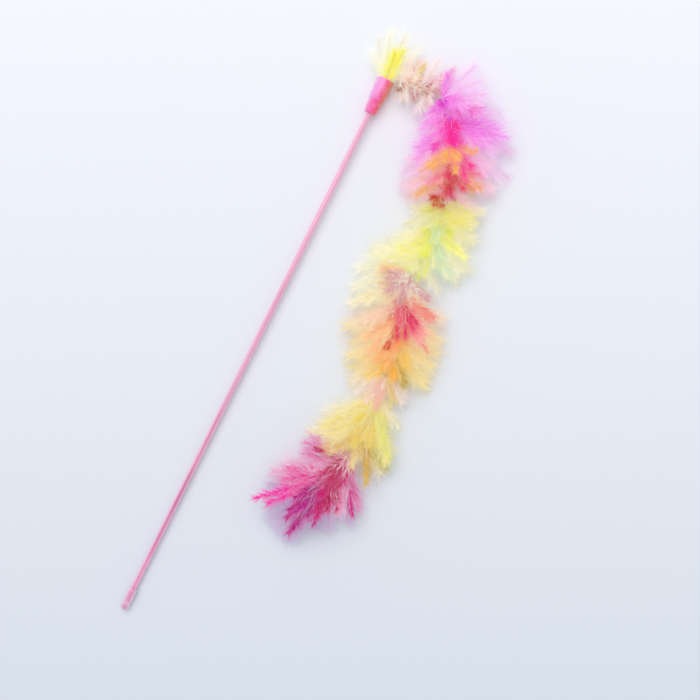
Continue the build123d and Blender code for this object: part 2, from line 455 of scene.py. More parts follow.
cap_rim = butt + END_CAP_LENGTH
cap_bore = ROD_RADIUS + GLUE_LINE
cap_radius = cap_bore + END_CAP_WALL
cap_corner = END_CAP_ROUNDING * (1 - math.sqrt(0.5))
end_cap = turned_piece("butt_cap", [
    (butt, 0),
    (butt, cap_radius - END_CAP_ROUNDING),
    (butt + cap_corner, cap_radius - cap_corner),
    (butt + END_CAP_ROUNDING, cap_radius),
    (cap_rim, cap_radius),
    (cap_rim, cap_bore),
    (rod_start, cap_bore),
    (rod_start, 0),
], END_CAP_EDGE)
fit_piece(end_cap, vinyl_finish(), "wand", "rod_end_cap")

# The tip socket is an injection-moulded cup: a tapered collar on the rod, a step, and a flared mouth.
# Hot glue in the cup holds the cord's first knot and the bound quills of the top plumes.
SOCKET_FOOT_RADIUS = 0.0042
SOCKET_WAIST_RADIUS = 0.0048
SOCKET_MOUTH_RADIUS = 0.00625
SOCKET_STEP = 0.0005
SOCKET_WALL = 0.001
SOCKET_WEB = 0.0015
SOCKET_EDGE = 0.0004
COLLAR_LENGTH = 0.0095
WAIST_BLEND = 0.0004

waist = socket_foot + COLLAR_LENGTH
cup_floor = rod_end + SOCKET_WEB


def socket_finish():
    """Pink moulded plastic with a glossy skin and faint flow marks, a painted lilac highlight on the side
    away from the boa, and painted shade with a painted reflection of the boa's warm colours on the side
    towards it.
    """
    finish, tint = new_finish("pink_socket")
    place = tint.place()
    flow = place.noise(320.0, 3.0, distortion=0.6)
    grain = place.noise(2400.0, 2.0)
    along = place.parts()
    waist_x = STICK_MIDDLE + waist * STICK_WAY.x
    upper = along.between(waist_x - WAIST_BLEND, waist_x + WAIST_BLEND, 0, 1)
    colour = tint.blend(upper, dye(252, 92, 172), dye(255, 132, 206))
    side = along.beside("Y")
    # Painted highlight: lilac towards the side away from the boa. Painted shade and painted reflection of the
    # boa: coral, then orange, towards the side near it.
    colour = tint.blend(side.between(0.001, 0.0052, 0, 0.75), colour, dye(248, 186, 240))
    colour = tint.blend(side.between(0.0008, -0.0026, 0, 0.9), colour, dye(255, 84, 128))
    colour = tint.blend(side.between(-0.0022, -0.0052, 0, 0.9), colour, dye(240, 150, 84))
    colour = tint.blend(flow.between(0.45, 0.75, 0, 0.35), colour, dye(255, 190, 222))
    tint.surface({
        "Base Color": colour,
        "Roughness": 0.2 + 0.2 * flow,
        "Coat Weight": 0.5,
        "Coat Roughness": 0.1,
        "Subsurface Weight": 0.2,
        "Subsurface Scale": 0.002,
        "Normal": grain.bump(0.12, 0.0001),
    })
    return finish


cup = turned_piece("flared_cup", [
    (rod_end, 0),
    (rod_end, cap_bore),
    (socket_foot, cap_bore),
    (socket_foot, SOCKET_FOOT_RADIUS),
    (waist, SOCKET_WAIST_RADIUS),
    (waist, SOCKET_WAIST_RADIUS + SOCKET_STEP),
    (mouth, SOCKET_MOUTH_RADIUS),
    (mouth, SOCKET_MOUTH_RADIUS - SOCKET_WALL),
    (cup_floor, SOCKET_WAIST_RADIUS + SOCKET_STEP - SOCKET_WALL),
    (cup_floor, 0),
], SOCKET_EDGE)
fit_piece(cup, socket_finish(), "wand", "tip_socket")

# Inside the cup sit the set glue, clear with a yellow cast, the knot buried in it, and the short end
# of cord that comes out of it. Only the glue's top and the cord show, between the plumes.
ANCHOR_PLACE = 0.1905
CORD_LEAVES = 0.2009


def glue_finish():
    """Set hot-melt glue: waxy, a little uneven."""
    finish, tint = new_finish("set_glue")
    lumps = tint.place().noise(500.0, 2.0)
    colour = tint.blend(lumps.between(0.35, 0.7, 0, 1), dye(226, 196, 142), dye(246, 232, 200))
    tint.surface({
        "Base Color": colour,
        "Roughness": 0.25 + 0.2 * lumps,
        "Normal": lumps.bump(0.5, 0.0004),
    })
    return finish


for node, finish in (("glue_plug", glue_finish()), ("anchor_knot", cotton)):
    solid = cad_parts[node]
    solid.data.materials.clear()
    solid.data.materials.append(finish)
short_end = [stick_place @ Vector((along, 0, 0)) for along in (ANCHOR_PLACE + KNOT_REACH, CORD_LEAVES)]
stub = twisted("string_stub", np.array([short_end[0], (short_end[0] + short_end[1]) / 2, short_end[1]]))
fit_piece(stub, cotton, "wand", "cord_anchor")

# The plumes are dyed marabou feathers: a fine quill with soft barbs down both sides, which clump, curl
# and fade towards their tips, and loose down at the root. Several are bound to the cord in each tuft.
MM = 0.001
TONES = {"accent": 0.06, "core": 0.25, "main": 0.45, "side": 0.68}
ACCENT_LIMIT = 0.15
DOWN_TONE = 0.93
TONE_WIDTH = 0.008
MAP_EDGE = 0.02
STRAND_CORNERS = np.radians((90, 210, 330))
STRAND_WIDE = 0.58
STRAND_THICK = 0.16
FLOOR_REST = 0.00015
FLOOR_EASE = 0.002


def strands(lines, widths, facing, shares, tones):
    """Tapering three-sided strands along these lines: points, four- and three-cornered faces, map places."""
    count = len(lines)
    rings = lines.shape[1] - 1
    ahead = unit(np.diff(lines, axis=1))
    facing = np.broadcast_to(facing[:, None, :], ahead.shape)
    up = unit(facing - ahead * np.sum(facing * ahead, axis=2, keepdims=True))
    across = np.cross(up, ahead)
    corners = []
    for turn in STRAND_CORNERS:
        arm = across * (STRAND_WIDE * math.cos(turn)) + up * (STRAND_THICK * math.sin(turn))
        corners.append(lines[:, :-1] + widths[..., None] * arm)
    ring_points = np.stack(corners, axis=2).reshape(count, rings * 3, 3)
    points = np.concatenate([ring_points, lines[:, -1:]], axis=1)
    quads, quad_shares, quad_sides = [], [], []
    for ring in range(rings - 1):
        for corner in range(3):
            after = (corner + 1) % 3
            quads.append((3 * ring + corner, 3 * ring + after, 3 * ring + 3 + after, 3 * ring + 3 + corner))
            quad_shares.append((shares[ring], shares[ring], shares[ring + 1], shares[ring + 1]))
            quad_sides.append((0, 1, 1, 0))
    last = 3 * (rings - 1)
    ends = [(last + corner, last + (corner + 1) % 3, 3 * rings) for corner in range(3)] + [(2, 1, 0)]
    end_shares = [(shares[-2], shares[-2], shares[-1])] * 3 + [(0, MAP_EDGE, 0)]
    end_sides = [(0, 1, 0.5)] * 3 + [(0, 0.5, 1)]
    first = (np.arange(count) * (3 * rings + 1))[:, None, None]

    def spread(faces, face_shares, face_sides):
        index = first + np.array(faces)[None]
        along = MAP_EDGE + (1 - 2 * MAP_EDGE) * np.array(face_shares)[None]
        tone = tones[:, None, None] + TONE_WIDTH * np.array(face_sides)[None]
        return index, np.stack([np.broadcast_to(along, index.shape), tone], axis=-1)

    return points, spread(quads, quad_shares, quad_sides), spread(ends, end_shares, end_sides)


def plume_mesh(name, bundles):
    """One mesh of all these bundles of strands, with its map; what hangs low comes to rest on the table."""
    points, quads, ends, quad_map, end_map, start = [], [], [], [], [], 0
    for bundle_points, (bundle_quads, bundle_quad_map), (bundle_ends, bundle_end_map) in bundles:
        points.append(bundle_points.reshape(-1, 3))
        quads.append((bundle_quads + start).reshape(-1))
        ends.append((bundle_ends + start).reshape(-1))
        quad_map.append(bundle_quad_map.reshape(-1, 2))
        end_map.append(bundle_end_map.reshape(-1, 2))
        start += len(points[-1])
    points = np.concatenate(points)
    low = points[:, 2] < FLOOR_EASE
    span = FLOOR_EASE - FLOOR_REST
    points[low, 2] = FLOOR_REST + span * np.exp((points[low, 2] - FLOOR_EASE) / span)
    quads, ends = np.concatenate(quads), np.concatenate(ends)
    loops = np.concatenate([quads, ends])
    starts = np.concatenate([np.arange(0, len(quads), 4), len(quads) + np.arange(0, len(ends), 3)])
    mesh = bpy.data.meshes.new(name)
    mesh.vertices.add(len(points))
    mesh.vertices.foreach_set("co", points.ravel().astype(np.float32))
    mesh.loops.add(len(loops))
    mesh.loops.foreach_set("vertex_index", loops.astype(np.int32))
    mesh.polygons.add(len(starts))
    mesh.polygons.foreach_set("loop_start", starts.astype(np.int32))
    mesh.polygons.foreach_set("use_smooth", np.ones(len(starts), bool))
    mesh.update(calc_edges=True)
    places = np.concatenate(quad_map + end_map)
    mesh.uv_layers.new(name="OFBake").data.foreach_set("uv", places.ravel().astype(np.float32))
    mesh.validate()
    return mesh


def quill(root, along, face, length, half_width, bow, tone, fade, ruffle, barb):
    """How one feather lies: where it is bound, where it points and faces, and how it is cut and dyed."""
    along = unit(np.array(along, float))
    face = np.array(face, float)
    face = unit(face - along * face.dot(along))
    return {
        "root": np.array(root, float), "along": along, "face": face, "length": length,
        "half_width": half_width, "bow": bow, "tone": tone, "fade": fade, "ruffle": ruffle,
        "gap": barb[0], "barb": barb[1],
    }


def quill_line(feather, shares):
    """Places, ways and facings along a feather's bowed quill."""
    turn = (feather["bow"] * shares)[:, None]
    radius = feather["length"] / feather["bow"]
    along, face = feather["along"], feather["face"]
    places = feather["root"] + radius * (along * np.sin(turn) - face * (1 - np.cos(turn)))
    return places, along * np.cos(turn) - face * np.sin(turn), face * np.cos(turn) + along * np.sin(turn)


STEM_SHARE = 0.03
FEWEST_BARBS = 20
BARB_SHARES = np.array([0.0, 0.3, 0.65, 1.0])
BARB_TAPER = np.array([1.0, 0.85, 0.4])
BARB_REACH = 1.5
BARB_UNEVEN = (0.6, 1.25)
BARB_WIDTHS = (0.7, 1.2)
BARB_LEAN = 64
BARB_CLOSES = 34
BARB_TURN = 0.12
BARB_RUFFLE = 0.6
BARB_CURL = 0.5
BARB_EASE = 0.45
BARB_LIFT_START = 0.5
BARB_DROOP = 0.1
BARB_SAG = 0.08
BARB_TONE = 0.015
VANE_BASE = 0.62
VANE_SHOULDER = 0.75
VANE_BLUNT = 0.8
WISP_SHARE = 0.4
WISP_REACH = 1.65
WISP_LIFT = 0.2
WISP_WIDTH = 0.32
WISP_PALER = 0.12
FEWEST_CLUMPS = 4
CLUMP_RUN = 0.0022
CLUMP_TURN = 0.14
CLUMP_LONG = (0.8, 1.1)
CLUMP_TONE = 0.03
CLUMP_PULL = 0.3
CLUMP_EASE = 1.3
FADE_EASE = 1.5
TIP_TONE = DOWN_TONE - 0.1
TONE_LIMITS = (0.01, 0.84)


def vane(feather, draw):
    """The barbs down both sides of a feather, some of them long wisps."""
    length, ruffle = feather["length"], feather["ruffle"]
    each_side = max(FEWEST_BARBS, int(length * (1 - STEM_SHARE) / feather["gap"]))
    shares = STEM_SHARE + (1 - STEM_SHARE) * (np.arange(each_side) + draw.random(each_side)) / each_side
    shares = np.tile(shares, 2)
    sides = np.repeat([-1.0, 1.0], each_side)
    count = len(shares)
    wisp = draw.random(count) < WISP_SHARE
    clumps = max(FEWEST_CLUMPS, int(length / CLUMP_RUN))
    clump = np.minimum((shares * clumps).astype(int), clumps - 1) + clumps * (sides > 0)
    clump_turn = draw.normal(0, CLUMP_TURN, 2 * clumps)[clump]
    clump_lift = draw.normal(0, ruffle, 2 * clumps)[clump]
    clump_long = draw.uniform(*CLUMP_LONG, 2 * clumps)[clump]
    clump_tone = draw.normal(0, CLUMP_TONE, 2 * clumps)[clump]
    clump_middle = ((clump % clumps) + 0.5) / clumps
    outline = VANE_BASE + (1 - VANE_BASE) * np.sin(np.pi * shares**VANE_SHOULDER) ** VANE_BLUNT
    reach = BARB_REACH * feather["half_width"] * outline * clump_long * draw.uniform(*BARB_UNEVEN, count)
    reach *= np.where(wisp, WISP_REACH, 1.0)
    lean = np.radians(BARB_LEAN - BARB_CLOSES * shares) + clump_turn + draw.normal(0, BARB_TURN, count)
    lift = clump_lift + draw.normal(0, BARB_RUFFLE * ruffle, count)
    lift += np.where(wisp, draw.normal(0, WISP_LIFT, count), 0)
    lift -= BARB_DROOP
    curl = draw.normal(0, BARB_CURL, count)
    places, ways, facings = quill_line(feather, shares)
    level = np.cross(facings, ways) * sides[:, None]
    line = [places]
    for start, end in zip(BARB_SHARES, BARB_SHARES[1:]):
        middle = (start + end) / 2
        open_turn = (lean * (1 - BARB_EASE * middle) + curl * middle)[:, None]
        rise = (lift * (BARB_LIFT_START + middle))[:, None]
        step = (ways * np.cos(open_turn) + level * np.sin(open_turn)) * np.cos(rise) + facings * np.sin(rise)
        line.append(line[-1] + step * (reach * (end - start))[:, None])
    lines = np.stack(line, axis=1)
    drawn_in = (clump_middle - shares) * length * CLUMP_PULL
    lines += ways[:, None, :] * drawn_in[:, None, None] * (BARB_SHARES**CLUMP_EASE)[None, :, None]
    lines[:, :, 2] -= BARB_SAG * reach[:, None] * BARB_SHARES[None] ** 2
    widths = feather["barb"] * draw.uniform(*BARB_WIDTHS, count) * np.where(wisp, WISP_WIDTH, 1.0)
    faded = feather["fade"] * (TIP_TONE - feather["tone"]) * shares**FADE_EASE
    faded += np.where(wisp & (feather["tone"] > ACCENT_LIMIT), WISP_PALER, 0)
    tones = np.clip(feather["tone"] + faded + clump_tone + draw.normal(0, BARB_TONE, count), *TONE_LIMITS)
    return strands(lines, widths[:, None] * BARB_TAPER[None], facings, BARB_SHARES, tones)


QUILL_SHARES = np.linspace(0, 0.92, 9)
QUILL_WIDTH = 0.00042
QUILL_TAPER = np.linspace(1, 0.15, len(QUILL_SHARES) - 1)
QUILL_PALER = 0.7
QUILL_MAP = np.full(len(QUILL_SHARES), 0.9)


def shaft(feather):
    """The quill itself, tapering to nothing short of the feather's tip, and paler than the barbs."""
    places, ways, facings = quill_line(feather, QUILL_SHARES)
    tone = feather["tone"]
    if tone > ACCENT_LIMIT:
        tone += QUILL_PALER * max(0, TONES["side"] - tone)
    return strands(places[None], QUILL_WIDTH * QUILL_TAPER[None], facings[:1], QUILL_MAP, np.array([tone]))


DOWN_SHARES = np.array([0.0, 0.25, 0.5, 0.75, 1.0])
DOWN_TAPER = np.array([1.0, 0.9, 0.75, 0.5])
DOWN_WIDTH = 0.00008
DOWN_WIDTHS = (0.6, 1.3)
DOWN_ALONG = 0.55
DOWN_CROWDS = 1.5
DOWN_REACH = (0.25, 0.55)
DOWN_OPEN = 0.5
DOWN_SPLAY = 0.15
DOWN_BEND = 0.35
DOWN_BEND_LIMIT = 0.6
DOWN_TONES = (DOWN_TONE - 0.04, DOWN_TONE + 0.05)
CRIMP = 0.0003


def down(feathers, each, width, open_out, draw):
    """Loose, crimped strands from round the roots of these feathers and from in between their vanes."""
    picked = [feather for feather in feathers for _ in range(each)]
    count = len(picked)
    shares = DOWN_ALONG * draw.random(count) ** DOWN_CROWDS
    roots, ways, facings = [], [], []
    for feather, share in zip(picked, shares):
        place, way, face = quill_line(feather, np.array([share]))
        roots.append(place[0])
        ways.append(way[0])
        facings.append(face[0])
    roots, ways, facings = np.array(roots), np.array(ways), np.array(facings)
    level = np.cross(facings, ways)
    turn = draw.uniform(0, 2 * np.pi, count)[:, None]
    wide = np.abs(draw.normal(0, open_out, count))[:, None] + DOWN_SPLAY
    heading = unit(ways + wide * (level * np.cos(turn) + facings * np.sin(turn)))
    bend = np.clip(draw.normal(0, DOWN_BEND, (count, 3)), -DOWN_BEND_LIMIT, DOWN_BEND_LIMIT)
    reach = np.array([feather["length"] for feather in picked]) * draw.uniform(*DOWN_REACH, count)
    steps = DOWN_SHARES[None, :, None]
    run = heading[:, None] * steps + bend[:, None] * steps**2 * 0.5
    lines = roots[:, None] + reach[:, None, None] * run
    lines += draw.normal(0, CRIMP, lines.shape) * (steps > 0)
    widths = width * draw.uniform(*DOWN_WIDTHS, count)[:, None] * DOWN_TAPER[None]
    return strands(lines, widths, facings, DOWN_SHARES, draw.uniform(*DOWN_TONES, count))


HAZE_WIDTH = 0.00008
HAZE_WIDTHS = (0.6, 1.2)
HAZE_EACH = 44
HAZE_FROM = 0.56
HAZE_ALONG = (0.45, 1.0)
HAZE_SHARE = (0.2, 0.38)
HAZE_REACH = 0.009
HAZE_OPEN = 0.5
HAZE_RISE = 0.3
HAZE_BEND = 0.4
HAZE_SAG = np.array((0, 0, 0.15))
HAZE_TONES = (-0.03, 0.16)


def haze(feathers, each, draw):
    """Very fine strands that go on past the tips of these feathers."""
    picked = [feather for feather in feathers for _ in range(each)]
    count = len(picked)
    shares = draw.uniform(*HAZE_ALONG, count)
    lines, facings, tones = [], [], []
    for feather, share in zip(picked, shares):
        place, way, face = [value[0] for value in quill_line(feather, np.array([share]))]
        level = np.cross(face, way)
        open_turn, rise = draw.normal(0, HAZE_OPEN), draw.normal(0, HAZE_RISE)
        heading = way + level * open_turn + face * rise
        bend = level * draw.normal(0, HAZE_BEND) - HAZE_SAG
        reach = min(feather["length"] * draw.uniform(*HAZE_SHARE), HAZE_REACH)
        steps = DOWN_SHARES[:, None]
        lines.append(place + reach * (heading * steps + bend * steps**2))
        facings.append(face)
        tones.append(TONES["side"] + draw.uniform(*HAZE_TONES))
    widths = HAZE_WIDTH * draw.uniform(*HAZE_WIDTHS, count)[:, None] * DOWN_TAPER[None]
    return strands(np.array(lines), widths, np.array(facings), DOWN_SHARES, np.array(tones))


SIDE_BLEACH = 0.35
DOWN_BLEACH = 0.45
PALEST_TONE = DOWN_TONE - 0.09
STREAK_ALONG = 1.6
STREAK_ACROSS = 85.0
ROOT_SHADE = (0.86, 0.72, 0.66)
# Painted glow: the barbs give off light in their own colour, standing in for light that passes through them.
PAINTED_GLOW = 0.24


def bleached(colour, share):
    return tuple(value + (1 - value) * share for value in colour)


def plume_finish(name, dyes):
    """Dyed barbs: fading to a pale tint at their tips and streaked by clumps, with painted shade near the
    quill and on the darker streaks, and a painted glow.
    """
    finish, tint = new_finish(name)
    mapped = tint.node("UVMap", {"uv_map": "OFBake"}).parts()
    tone = mapped.beside("Y")
    core, main, accent, side, pale_down = [dye(*colour) for colour in dyes]
    side = bleached(side, SIDE_BLEACH)
    pale_down = bleached(pale_down, DOWN_BLEACH)
    stops = list(zip((*TONES.values(), PALEST_TONE), (accent, core, main, side, pale_down)))
    hue = tint.node("ValToRGB", {"stops": stops}, {"Fac": tone})
    spread = tint.node("CombineXYZ", None, {"X": mapped * STREAK_ALONG, "Y": tone * STREAK_ACROSS})
    streak = spread.noise(1.0, 2.0)
    pale = tint.blend(0.6, hue, side)
    colour = tint.blend(mapped.between(0.4, 1.0, 0, 0.5), hue, pale)
    # Painted shade: the hue darkened, laid on the barbs near the quill and on the darker streaks.
    shaded_hue = hue.scaled(ROOT_SHADE)
    colour = tint.blend(mapped.between(0.0, 0.35, 0.4, 0), colour, shaded_hue)
    colour = tint.blend(streak.between(0.5, 0.8, 0, 0.5), colour, pale)
    colour = tint.blend(streak.between(0.45, 0.2, 0, 0.4), colour, shaded_hue)
    tint.surface({
        "Base Color": colour,
        "Roughness": 0.5 + 0.25 * streak,
        # Painted glow in the barbs' own colour.
        "Emission Color": colour,
        "Emission Strength": PAINTED_GLOW,
        "Specular IOR Level": 0.05,
    })
    return finish


STRAY_WIDTH = 0.0003
STRAY_OPEN = 0.25
STRAY_EACH = 3
STRAYS = {
    "peach": 30, "blush": 30, "mauve": 20, "rose": 16, "ruby": 16, "purple": 9, "fuchsia": 9, "violet": 3,
}


def plume_piece(colour, feathers, dyes, down_each, seed, body):
    """One tuft of feathers in one dye lot, in place of its solid."""
    draw = np.random.default_rng(seed)
    bundles = [vane(feather, draw) for feather in feathers]
    bundles += [shaft(feather) for feather in feathers]
    bundles.append(down(feathers, down_each, DOWN_WIDTH, DOWN_OPEN, draw))
    bundles.append(haze([feather for feather in feathers if feather["tone"] > HAZE_FROM], HAZE_EACH, draw))
    bundles.append(down(feathers, STRAYS.get(colour, STRAY_EACH), STRAY_WIDTH, STRAY_OPEN, draw))
    name = "marabou_" + colour
    piece = bpy.data.objects.new(name, plume_mesh(name, bundles))
    scene.collection.objects.link(piece)
    fit_piece(piece, plume_finish(name, dyes), body, "plumes_" + colour)
    return piece


PLUME_BOW = math.radians(24)
BINDING_RADIUS = 0.0018
CROWN_SHARE = 0.75
FILL_BARB = (0.0004, 0.00022)
FILL_FADE = 0.9
FILL_TONE = TONES["side"] + 0.06
FILL_DEEPER = (0.5, 1.3)
FILL_CUT = (0.8, 0.92)
FILL_CROWN_CUT = 0.35
FILL_SLIM = 0.22
FILL_RUFFLE = 0.3


def far_side(forward):
    """The level way across the cord, on its side away from the rod."""
    return unit(np.cross((0, 0, 1), forward))


def leaning(forward, way, lean, crown):
    """The way out from the cord at a turn round it, and the way and back of a feather leaning out there."""
    out = unit(far_side(forward) * math.cos(way) + np.array((0, 0, crown * math.sin(way))))
    along = forward * math.cos(lean) + out * math.sin(lean)
    return out, along, out * math.cos(lean) - forward * math.sin(lean)


def bound_quills(place, forward, lean, cuts, ways, draw):
    """Feathers that fan out round the cord from the far side over the top to the rod side."""
    feathers = []
    for way in np.radians(ways):
        out, along, back = leaning(forward, way, lean, CROWN_SHARE)
        flat = np.array((0, 0, 1.0)) - along * along[2]
        upright = abs(math.sin(way))
        face = flat + (back - flat) * upright
        cut = cuts[0] + (cuts[1] - cuts[0]) * (1 - math.cos(way)) / 2
        tone = FILL_TONE + (TONES["main"] - TONES["side"]) * upright**2 * draw.uniform(*FILL_DEEPER)
        length = cut * draw.uniform(*FILL_CUT) * (1 - FILL_CROWN_CUT * upright**2)
        fade = FILL_FADE * (1 - upright**2)
        feathers.append(quill(
            place + out * BINDING_RADIUS, along, face, length, FILL_SLIM * length, PLUME_BOW,
            tone, fade, FILL_RUFFLE, FILL_BARB,
        ))
    return feathers


SHOW_BOW = math.radians(16)
SHOW_BARB = (0.00027, 0.00029)
SHOW_FADES = {"accent": 0.0, "core": 0.08, "main": 0.35, "side": 0.5}
SHOW_TILT = 0.15
SHOW_TONE = 0.02
SHOW_CUT = 0.9
SHOW_FULLER = 1.35
SHOW_RUFFLE = 0.14
UNDER_SWING = 0.12
UNDER_DROP = 0.1
UNDER_CUT = 0.88
UNDER_RUFFLE = 0.2


def laid_quills(root, tip, half_width, tone, draw):
    """A feather that lies from its root to a tip, showing its face to the sky, over a shorter one."""
    along = np.array(tip) * MM - root
    length = float(np.linalg.norm(along)) * (1.0 if tone == "accent" else SHOW_CUT)
    face = np.array((0, 0, 1.0)) + draw.normal(0, SHOW_TILT, 3)
    lifted = unit(along) + unit(face) * math.sin(SHOW_BOW / 2)
    half_width *= SHOW_FULLER * MM
    dyed = TONES[tone] + draw.normal(0, SHOW_TONE)
    fade = SHOW_FADES[tone]
    feathers = [quill(root, lifted, face, length, half_width, SHOW_BOW, dyed, fade, SHOW_RUFFLE, SHOW_BARB)]
    if tone != "side":
        swung = lifted + draw.normal(0, UNDER_SWING, 3) - unit(face) * UNDER_DROP
        length *= UNDER_CUT
        under = quill(root, swung, face, length, half_width, SHOW_BOW, dyed, fade, UNDER_RUFFLE, SHOW_BARB)
        feathers.append(under)
    return feathers


HEARTS = 8
HEART_BARB = (0.00034, 0.00027)
HEART_CROWN = 0.7
HEART_WAYS = (-0.1, math.pi + 0.1)
HEART_LEAN = (0.7, 1.3)
HEART_FACE = np.array((0, 0, 0.8))
HEART_CUT = (0.009, 0.014)
HEART_HALF_WIDTH = 0.004
HEART_RUFFLE = 0.3


def deep_tone(draw):
    """A tone somewhere from the core's to the main one."""
    return TONES["core"] + (TONES["main"] - TONES["core"]) * draw.random()


def heart_quills(line, low, high, draw):
    """Short dense feathers close round the cord, which hide it and its knots."""
    places, headings = along_line(line, draw.uniform(low, high, HEARTS))
    feathers = []
    for place, heading in zip(places, headings):
        way = draw.uniform(*HEART_WAYS)
        _, along, back = leaning(heading, way, draw.uniform(*HEART_LEAN), HEART_CROWN)
        tone = deep_tone(draw)
        feathers.append(quill(
            place, along, back + HEART_FACE, draw.uniform(*HEART_CUT), HEART_HALF_WIDTH, PLUME_BOW,
            tone, 0.0, HEART_RUFFLE, HEART_BARB,
        ))
    return feathers


LININGS = 2
LINING_LAP = 1.4
LINING_SWING = 0.2
LINING_HALF_WIDTH = 0.005
LINING_BOW = math.radians(-14)
LINING_RUFFLE = 0.2
LINING_SEED = 400


def lining_quills(line, low, high, draw):
    """Flat feathers under the cord, one after the other along it, so that its underside is feathered too."""
    run = (high - low) / LININGS
    length = LINING_LAP * run * line_length(line)
    places, headings = along_line(line, low + run * np.arange(LININGS))
    feathers = []
    for place, heading in zip(places, headings):
        along = heading + far_side(heading) * draw.normal(0, LINING_SWING)
        feathers.append(quill(
            place - np.array((0, 0, BINDING_RADIUS)), along, (0, 0, -1), length, LINING_HALF_WIDTH,
            LINING_BOW, deep_tone(draw), 0.0, LINING_RUFFLE, FILL_BARB,
        ))
    return feathers


FLEX_ROOM = 0.008
KNOT_RADIUS = 0.0022
SHARED_CUTS = {"T": 0.013, "S": 0.020, "M": 0.027, "L": 0.034, "X": 0.041, "XX": 0.048}
EVEN_WAYS = (2, 24, 50, 90, 130, 156, 178)
ODD_WAYS = (-6, 14, 38, 70, 110, 142, 166, 186)
DOWN_EACH = 12
DOWN_FEW = {"rose": 6, "ruby": 4, "purple": 4, "fuchsia": 5, "magenta": 8, "crimson": 6}
FIRST_SEED = 100

tuft_numbers = itertools.count()


def bind_tufts(stretch, leans, tufts):
    """All the tufts of one stretch, bound along the cord that carries them.

    A tuft has a colour, its cuts on the far side and on the rod side, its five dyes (core, main, accent, side
    and down) and its laid feathers. Each of these has a tone, the share of the cord's length at which it is
    bound, the place of its tip and its half width, both in millimetres.
    """
    line = cord_lines[stretch]
    length = line_length(line)
    first = FLEX_ROOM - KNOT_RADIUS
    pitch = (length - 2 * first) / (len(tufts) - 1)
    for number, (colour, far_cut, rod_cut, dyes, laid) in enumerate(tufts):
        tuft = next(tuft_numbers)
        seed = FIRST_SEED + tuft
        draw = np.random.default_rng(seed)
        share = (first + number * pitch) / length
        lean = math.radians(leans[0] + (leans[1] - leans[0]) * number / (len(tufts) - 1))
        places, headings = along_line(line, np.array([share]))
        ways = ODD_WAYS if tuft % 2 else EVEN_WAYS
        cuts = (SHARED_CUTS[far_cut], SHARED_CUTS[rod_cut])
        feathers = bound_quills(places[0], headings[0], lean, cuts, ways, draw)
        half_pitch = pitch / length / 2
        low = 0.0 if number == 0 else share - half_pitch
        high = 1.0 if number == len(tufts) - 1 else share + half_pitch
        feathers += heart_quills(line, low, high, draw)
        for tone, root_share, tip, half_width in laid:
            root = along_line(line, np.array([root_share]))[0][0] + np.array((0, 0, BINDING_RADIUS))
            feathers += laid_quills(root, tip, half_width, tone, draw)
        feathers += lining_quills(line, low, high, np.random.default_rng(LINING_SEED + tuft))
        down_each = DOWN_FEW.get(colour, DOWN_EACH)
        plume_piece(colour, feathers, dyes, down_each, seed, "boa_" + stretch)


# The top plumes stand in the socket's mouth: lemon feathers, glued in with the cord.
# They fan forward past the mouth and fade to a pale haze.
TOP_WAYS = (5, 45, 88)
TOP_LEAN = math.radians(32)
TOP_ROOT = 0.198
TOP_SEED = 90
TOP_DYES = [(254, 250, 84), (255, 254, 130), (253, 251, 170), (255, 255, 214), (255, 255, 240)]
TOP_LAID = [
    ("core", (222.5, -2.2, 23), 4.6),
    ("side", (234.0, 0.5, 20), 5.4),
    ("side", (232.0, 12.0, 14), 5.0),
    ("side", (213.0, 17.0, 9), 4.0),
    ("side", (229.6, -12.0, 12), 5.0),
    ("core", (217.0, 0.5, 25), 4.0),
]

top_draw = np.random.default_rng(TOP_SEED)
top_root = np.array(stick_place @ Vector((TOP_ROOT, 0, 0)))
top_cut = SHARED_CUTS["L"]
top_feathers = bound_quills(top_root, np.array(STICK_WAY), TOP_LEAN, (top_cut, top_cut), TOP_WAYS, top_draw)
for tone, tip, half_width in TOP_LAID:
    top_feathers += laid_quills(top_root, tip, half_width, tone, top_draw)
plume_piece("top", top_feathers, TOP_DYES, DOWN_EACH, TOP_SEED, "wand")

# The leader is the thin start of the boa, next to the socket: short peach and blush fluff, cut close, with
# painted shade near the cord as brown strands.
bind_tufts("leader", (60, 66), [
    ("peach", "T", "T", [
        # The first dye, brown, is painted shade in the fluff by the cord.
        (140, 84, 72), (248, 206, 186), (250, 226, 140), (255, 230, 216), (255, 244, 228),
    ], [
        ("side", 0.18, (219.4, -8.5, 16), 4.5),
        ("main", 0.24, (222.4, -20.6, 15), 4.0),
        ("accent", 0.43, (219.3, -19.1, 19), 1.6),
        ("side", 0.35, (192.5, -17.0, 11), 6.0),
        ("core", 0.22, (195.0, -10.6, 16), 3.0),
    ]),
    ("blush", "T", "T", [
        # The first dye, brown, is painted shade in the fluff by the cord.
        (176, 100, 96), (250, 210, 200), (248, 180, 205), (255, 230, 232), (255, 240, 230),
    ], [
        ("side", 0.60, (227.2, -27.3, 16), 4.5),
        ("core", 0.54, (193.6, -23.2, 15), 2.6),
        ("side", 0.72, (190.0, -30.0, 11), 6.0),
        ("accent", 0.75, (225.0, -38.2, 14), 4.0),
    ]),
])

